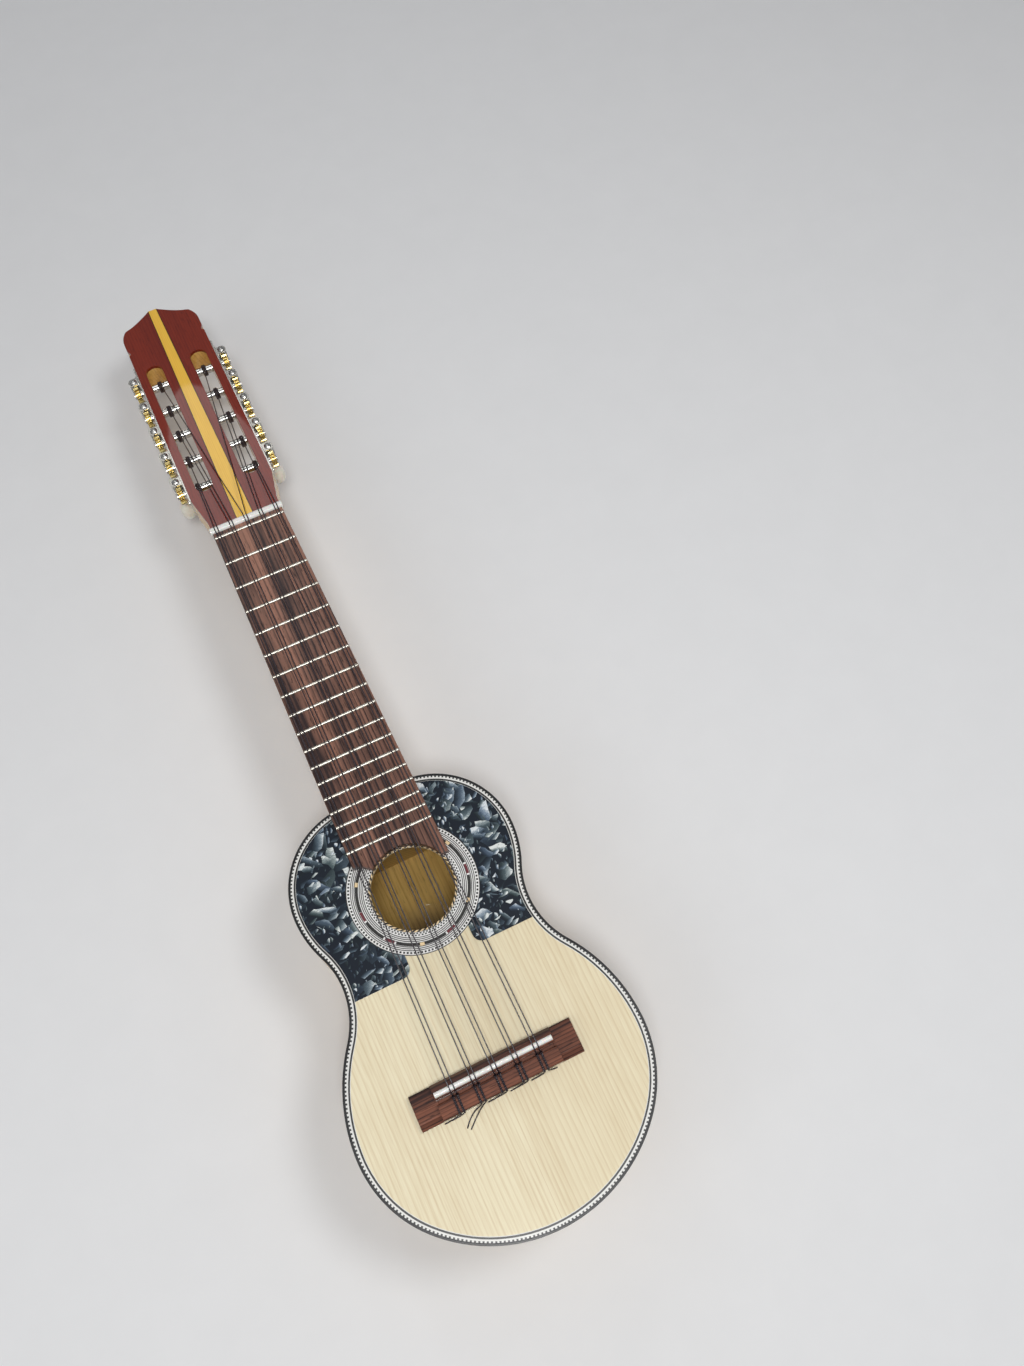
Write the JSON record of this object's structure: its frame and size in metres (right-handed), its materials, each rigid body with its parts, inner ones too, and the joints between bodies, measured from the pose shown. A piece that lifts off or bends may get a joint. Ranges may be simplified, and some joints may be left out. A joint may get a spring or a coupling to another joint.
{
  "type": "charango",
  "caption": "Small waisted string instrument with paired strings, a slotted head, and worm-and-gear tuning machines that turn.",
  "frame": {"origin": "middle of the bounding box's footprint, on the flat outside of the back, with the instrument lying on its back", "axes": "+X to the treble side, +Y along the strings towards the head, +Z out of the soundboard"},
  "size_m": [0.1706, 0.6838, 0.0907],
  "materials": {
    "spruce": "clear gloss",
    "yellow_wood": "clear gloss",
    "lining_wood": "bare",
    "black_binding": "gloss",
    "purfling_band": "gloss",
    "rosette_inlay": "gloss",
    "dark_pearloid": "gloss",
    "neck_wood": "clear gloss",
    "red_wood": "clear gloss",
    "yellow_strip": "clear gloss",
    "dark_line": "clear gloss",
    "striped_rosewood": "oiled",
    "fret_wire": "polished",
    "bone": "polished",
    "bridge_rosewood": "gloss",
    "black_nylon": "satin",
    "nickel_plate": "polished",
    "steel": "polished",
    "button_plastic": "pearly",
    "brass": "polished",
    "roller_metal": "polished"
  },
  "bodies": {
    "instrument": {"soundboard": "spruce", "back": "yellow_wood", "rib_bass": "yellow_wood", "rib_treble": "yellow_wood", "linings": "lining_wood", "top_braces": "spruce", "back_braces": "lining_wood", "neck_block": "lining_wood", "tail_block": "lining_wood", "bridge_patch": "spruce", "binding": "black_binding", "purfling": "purfling_band", "rosette": "rosette_inlay", "pickguard_bass": "dark_pearloid", "pickguard_treble": "dark_pearloid", "neck": "neck_wood", "head_face": "red_wood", "head_strip": "yellow_strip", "head_strip_lines": "dark_line", "fingerboard": "striped_rosewood", "frets": "fret_wire", "nut": "bone", "bridge": "bridge_rosewood", "saddle": "bone", "strings": "black_nylon", "tuner_plate_bass": "nickel_plate", "tuner_plate_treble": "nickel_plate", "plate_screws": "nickel_plate"},
    "knob_bass_1": {"worm_bass_1": "steel", "button_bass_1": "button_plastic"},
    "post_bass_1": {"roller_bass_1": "roller_metal"},
    "knob_bass_2": {"worm_bass_2": "steel", "button_bass_2": "button_plastic"},
    "post_bass_2": {"roller_bass_2": "roller_metal"},
    "knob_bass_3": {"worm_bass_3": "steel", "button_bass_3": "button_plastic"},
    "post_bass_3": {"roller_bass_3": "roller_metal"},
    "knob_bass_4": {"worm_bass_4": "steel", "button_bass_4": "button_plastic"},
    "post_bass_4": {"roller_bass_4": "roller_metal"},
    "knob_bass_5": {"worm_bass_5": "steel", "button_bass_5": "button_plastic"},
    "post_bass_5": {"roller_bass_5": "roller_metal"},
    "knob_treble_1": {"worm_treble_1": "steel", "button_treble_1": "button_plastic"},
    "post_treble_1": {"roller_treble_1": "roller_metal"},
    "knob_treble_2": {"worm_treble_2": "steel", "button_treble_2": "button_plastic"},
    "post_treble_2": {"roller_treble_2": "roller_metal"},
    "knob_treble_3": {"worm_treble_3": "steel", "button_treble_3": "button_plastic"},
    "post_treble_3": {"roller_treble_3": "roller_metal"},
    "knob_treble_4": {"worm_treble_4": "steel", "button_treble_4": "button_plastic"},
    "post_treble_4": {"roller_treble_4": "roller_metal"},
    "knob_treble_5": {"worm_treble_5": "steel", "button_treble_5": "button_plastic"},
    "post_treble_5": {"roller_treble_5": "roller_metal"}
  },
  "joints": [
    {"name": "knob_turn_bass_1", "type": "hinge", "parent": "instrument", "child": "knob_bass_1", "pos_m": [-0.0334, 0.18038, 0.06731], "axis": [0, 0.1045, 0.9945], "continuous": true},
    {"name": "post_turn_bass_1", "type": "hinge", "parent": "instrument", "child": "post_bass_1", "pos_m": [-0.0334, 0.17263, 0.06813], "axis": [1, 0, 0], "continuous": true},
    {"name": "knob_turn_bass_2", "type": "hinge", "parent": "instrument", "child": "knob_bass_2", "pos_m": [-0.0334, 0.20564, 0.06466], "axis": [0, 0.1045, 0.9945], "continuous": true},
    {"name": "post_turn_bass_2", "type": "hinge", "parent": "instrument", "child": "post_bass_2", "pos_m": [-0.0334, 0.19789, 0.06547], "axis": [1, 0, 0], "continuous": true},
    {"name": "knob_turn_bass_3", "type": "hinge", "parent": "instrument", "child": "knob_bass_3", "pos_m": [-0.0334, 0.2309, 0.062], "axis": [0, 0.1045, 0.9945], "continuous": true},
    {"name": "post_turn_bass_3", "type": "hinge", "parent": "instrument", "child": "post_bass_3", "pos_m": [-0.0334, 0.22315, 0.06282], "axis": [1, 0, 0], "continuous": true},
    {"name": "knob_turn_bass_4", "type": "hinge", "parent": "instrument", "child": "knob_bass_4", "pos_m": [-0.0334, 0.25616, 0.05935], "axis": [0, 0.1045, 0.9945], "continuous": true},
    {"name": "post_turn_bass_4", "type": "hinge", "parent": "instrument", "child": "post_bass_4", "pos_m": [-0.0334, 0.24841, 0.06016], "axis": [1, 0, 0], "continuous": true},
    {"name": "knob_turn_bass_5", "type": "hinge", "parent": "instrument", "child": "knob_bass_5", "pos_m": [-0.0334, 0.28143, 0.05669], "axis": [0, 0.1045, 0.9945], "continuous": true},
    {"name": "post_turn_bass_5", "type": "hinge", "parent": "instrument", "child": "post_bass_5", "pos_m": [-0.0334, 0.27367, 0.05751], "axis": [1, 0, 0], "continuous": true},
    {"name": "knob_turn_treble_1", "type": "hinge", "parent": "instrument", "child": "knob_treble_1", "pos_m": [0.0334, 0.18038, 0.06731], "axis": [0, 0.1045, 0.9945], "continuous": true},
    {"name": "post_turn_treble_1", "type": "hinge", "parent": "instrument", "child": "post_treble_1", "pos_m": [0.0334, 0.17263, 0.06813], "axis": [1, 0, 0], "continuous": true},
    {"name": "knob_turn_treble_2", "type": "hinge", "parent": "instrument", "child": "knob_treble_2", "pos_m": [0.0334, 0.20564, 0.06466], "axis": [0, 0.1045, 0.9945], "continuous": true},
    {"name": "post_turn_treble_2", "type": "hinge", "parent": "instrument", "child": "post_treble_2", "pos_m": [0.0334, 0.19789, 0.06547], "axis": [1, 0, 0], "continuous": true},
    {"name": "knob_turn_treble_3", "type": "hinge", "parent": "instrument", "child": "knob_treble_3", "pos_m": [0.0334, 0.2309, 0.062], "axis": [0, 0.1045, 0.9945], "continuous": true},
    {"name": "post_turn_treble_3", "type": "hinge", "parent": "instrument", "child": "post_treble_3", "pos_m": [0.0334, 0.22315, 0.06282], "axis": [1, 0, 0], "continuous": true},
    {"name": "knob_turn_treble_4", "type": "hinge", "parent": "instrument", "child": "knob_treble_4", "pos_m": [0.0334, 0.25616, 0.05935], "axis": [0, 0.1045, 0.9945], "continuous": true},
    {"name": "post_turn_treble_4", "type": "hinge", "parent": "instrument", "child": "post_treble_4", "pos_m": [0.0334, 0.24841, 0.06016], "axis": [1, 0, 0], "continuous": true},
    {"name": "knob_turn_treble_5", "type": "hinge", "parent": "instrument", "child": "knob_treble_5", "pos_m": [0.0334, 0.28143, 0.05669], "axis": [0, 0.1045, 0.9945], "continuous": true},
    {"name": "post_turn_treble_5", "type": "hinge", "parent": "instrument", "child": "post_treble_5", "pos_m": [0.0334, 0.27367, 0.05751], "axis": [1, 0, 0], "continuous": true}
  ],
  "couplings": [
    {"joint": "post_turn_bass_1", "follows": "knob_turn_bass_1", "ratio": 0.071429},
    {"joint": "post_turn_bass_2", "follows": "knob_turn_bass_2", "ratio": 0.071429},
    {"joint": "post_turn_bass_3", "follows": "knob_turn_bass_3", "ratio": 0.071429},
    {"joint": "post_turn_bass_4", "follows": "knob_turn_bass_4", "ratio": 0.071429},
    {"joint": "post_turn_bass_5", "follows": "knob_turn_bass_5", "ratio": 0.071429},
    {"joint": "post_turn_treble_1", "follows": "knob_turn_treble_1", "ratio": -0.071429},
    {"joint": "post_turn_treble_2", "follows": "knob_turn_treble_2", "ratio": -0.071429},
    {"joint": "post_turn_treble_3", "follows": "knob_turn_treble_3", "ratio": -0.071429},
    {"joint": "post_turn_treble_4", "follows": "knob_turn_treble_4", "ratio": -0.071429},
    {"joint": "post_turn_treble_5", "follows": "knob_turn_treble_5", "ratio": -0.071429}
  ]
}
